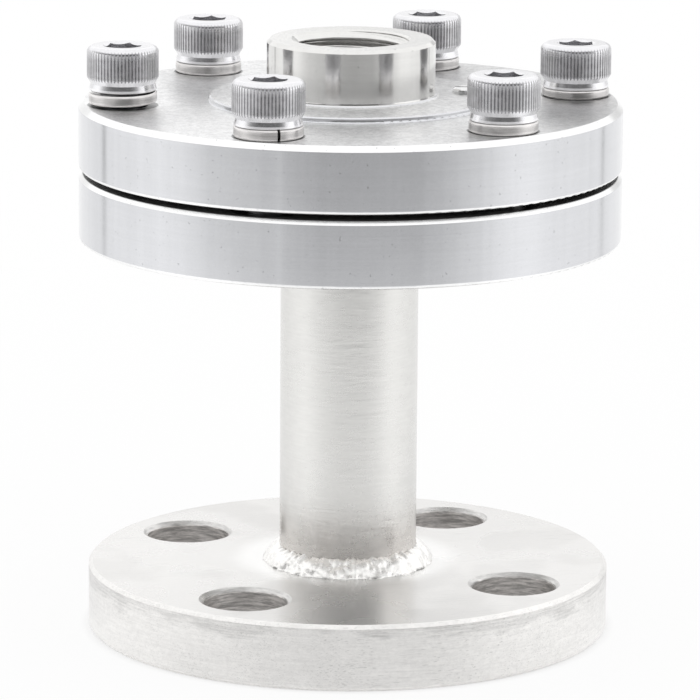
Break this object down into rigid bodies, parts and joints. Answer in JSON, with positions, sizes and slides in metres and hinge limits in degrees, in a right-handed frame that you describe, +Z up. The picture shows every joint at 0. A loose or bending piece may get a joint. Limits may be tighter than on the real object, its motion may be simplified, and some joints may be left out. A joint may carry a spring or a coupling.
{
  "type": "flanged diaphragm seal for a pressure gauge",
  "caption": "Stainless diaphragm seal: bolt-on process flange, welded neck tube, and two round housings clamping a thin diaphragm under a threaded gauge boss.",
  "frame": {"origin": "centre of the process flange's sealing face, the lowest face of the part", "axes": "+Z up along the common axis, out of the gauge port; the flange's bolt holes straddle X and Y"},
  "size_m": [0.098, 0.098, 0.1082],
  "materials": {
    "flange_steel": "satin turned stainless steel",
    "neck_steel": "satin pickled stainless steel",
    "weld_metal": "rough weld bead, pickled",
    "housing_steel": "fine turned stainless steel with bright edges",
    "screw_steel": "bright knurled stainless steel",
    "washer_steel": "plain stainless spring steel",
    "plug_steel": "plain stainless steel",
    "diaphragm_foil": "thin rolled stainless foil",
    "gasket_ptfe": "soft white sealing sheet"
  },
  "bodies": {
    "root": {"process_flange": "flange_steel", "neck_tube": "neck_steel", "flange_fillet_weld": "weld_metal", "flange_bore_weld": "weld_metal", "chamber_weld": "weld_metal", "lower_housing": "housing_steel", "process_gasket": "gasket_ptfe", "diaphragm": "diaphragm_foil", "upper_housing": "housing_steel", "fill_plug_washer": "plug_steel", "fill_plug": "plug_steel", "cap_screw_1": "screw_steel", "spring_washer_1": "washer_steel", "cap_screw_2": "screw_steel", "spring_washer_2": "washer_steel", "cap_screw_3": "screw_steel", "spring_washer_3": "washer_steel", "cap_screw_4": "screw_steel", "spring_washer_4": "washer_steel", "cap_screw_5": "screw_steel", "spring_washer_5": "washer_steel", "cap_screw_6": "screw_steel", "spring_washer_6": "washer_steel"}
  },
  "joints": []
}
